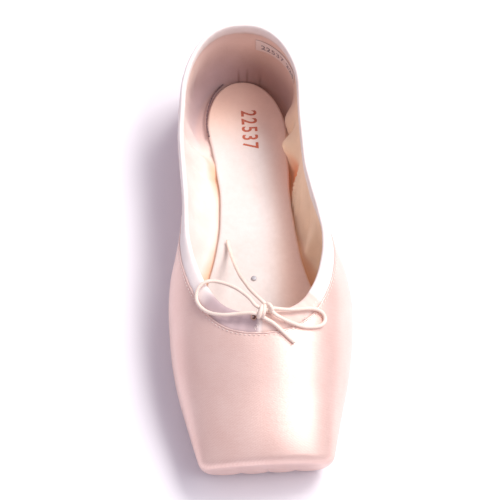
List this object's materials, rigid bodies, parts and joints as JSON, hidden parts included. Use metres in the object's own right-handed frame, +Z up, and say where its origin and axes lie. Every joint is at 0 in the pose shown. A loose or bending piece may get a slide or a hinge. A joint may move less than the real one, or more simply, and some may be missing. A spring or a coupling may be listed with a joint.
{
  "type": "pointe shoe",
  "caption": "Satin ballet pointe shoe with a boxed flat toe, soft low quarters, a drawstring casing tied in a small bow at the throat, and a slim leather outsole.",
  "frame": {"origin": "on the floor, under the middle of the shoe's box", "axes": "+Y from the toe platform to the heel, +Z up, +X to the right seen from the toe looking to the heel"},
  "size_m": [0.0882, 0.236, 0.0593],
  "materials": {
    "satin": "smooth pale peach-pink satin with a soft sheen",
    "casing_cloth": "matt pale woven cotton, gathered and stitched",
    "lining": "matt cream cotton lining",
    "sole_leather": "pale tan split leather, slightly rough, with a scored edge",
    "insole_cloth": "fine napped cream cloth with plain printed numerals",
    "tack_metal": "dull grey steel",
    "elastic": "fine braided peach elastic cord"
  },
  "bodies": {
    "root": {"upper": "satin", "drawstring_casing": "casing_cloth", "outsole": "sole_leather", "insole": "insole_cloth", "insole_tack": "tack_metal", "bow_knot": "elastic", "bow_loop_left": "elastic", "bow_loop_right": "elastic", "bow_tail_inner": "elastic", "bow_tail_outer": "elastic"}
  },
  "joints": []
}
